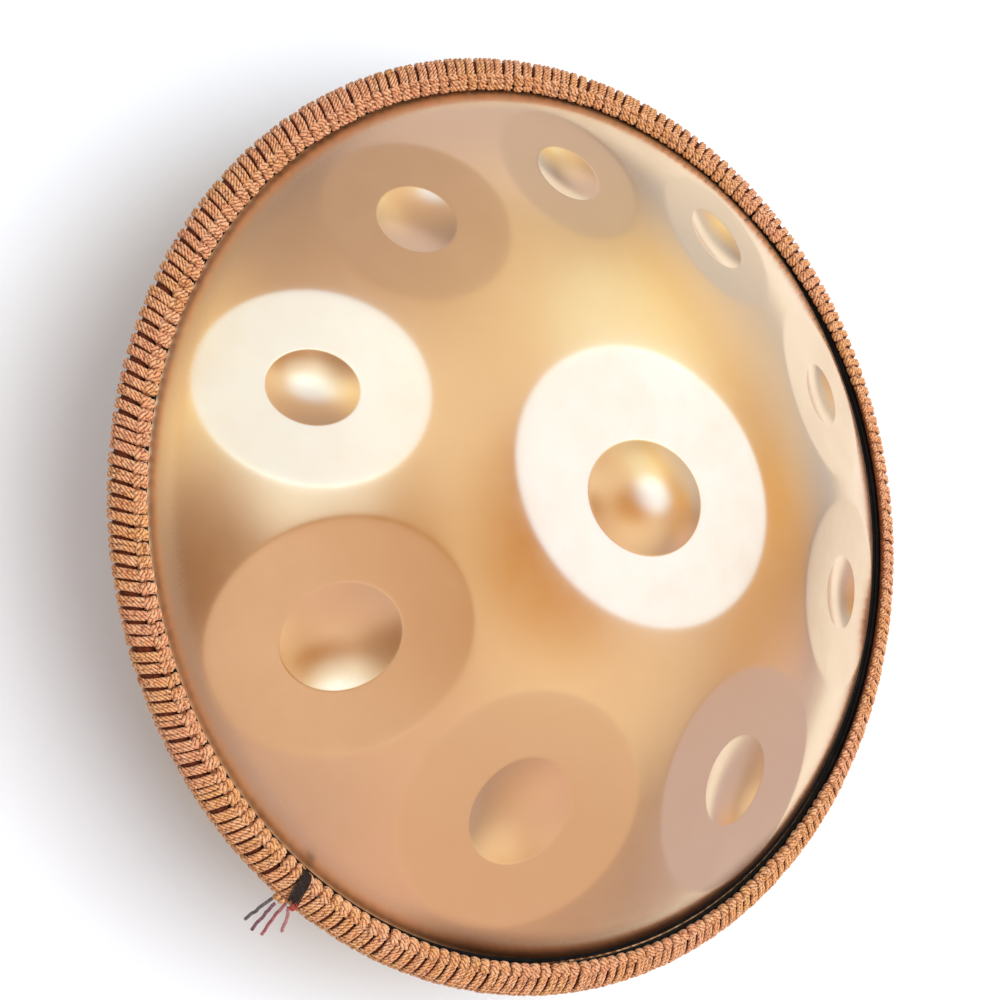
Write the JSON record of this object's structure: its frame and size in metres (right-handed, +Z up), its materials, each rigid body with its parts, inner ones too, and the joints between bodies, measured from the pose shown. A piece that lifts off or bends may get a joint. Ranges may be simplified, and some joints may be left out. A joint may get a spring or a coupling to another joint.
{
  "type": "handpan",
  "caption": "Satin gold steel handpan with a raised centre note, a ring of dimpled note fields, an open port beneath and a hitched cord wrapped round the rim.",
  "frame": {"origin": "centre of the flat land that the instrument rests on", "axes": "+Z up through the centre note; seen from above with +X to the right, the lowest note is at the lower right and the rim cord's bound end at a bearing of about 308 degrees"},
  "size_m": [0.5649, 0.565, 0.193],
  "materials": {
    "shell_steel": "satin gold, heat tinted, softly blurred reflections",
    "adhesive": "cured glue line",
    "rubber_trim": "matt black",
    "rim_cord": "twisted copper-orange cord with darker gaps",
    "black_thread": "tight black whipping",
    "red_thread": "bright red thread",
    "slate_thread": "dark slate thread",
    "purple_thread": "purple-grey thread",
    "rose_thread": "rose thread, redder at the rim",
    "pink_thread": "dusty pink thread"
  },
  "bodies": {
    "root": {"top_shell": "shell_steel", "bottom_shell": "shell_steel", "rim_adhesive": "adhesive", "edge_channel": "rubber_trim", "upper_filler_cord": "rim_cord", "lower_filler_cord": "rim_cord", "upper_hitch_row": "rim_cord", "lower_hitch_row": "rim_cord", "edge_lacing": "rim_cord", "cord_end_knot": "rim_cord", "black_whipping": "black_thread", "red_thread_turn": "red_thread", "slate_thread_tail": "slate_thread", "purple_thread_tail": "purple_thread", "rose_thread_tail": "rose_thread", "pink_thread_tail": "pink_thread"}
  },
  "joints": []
}
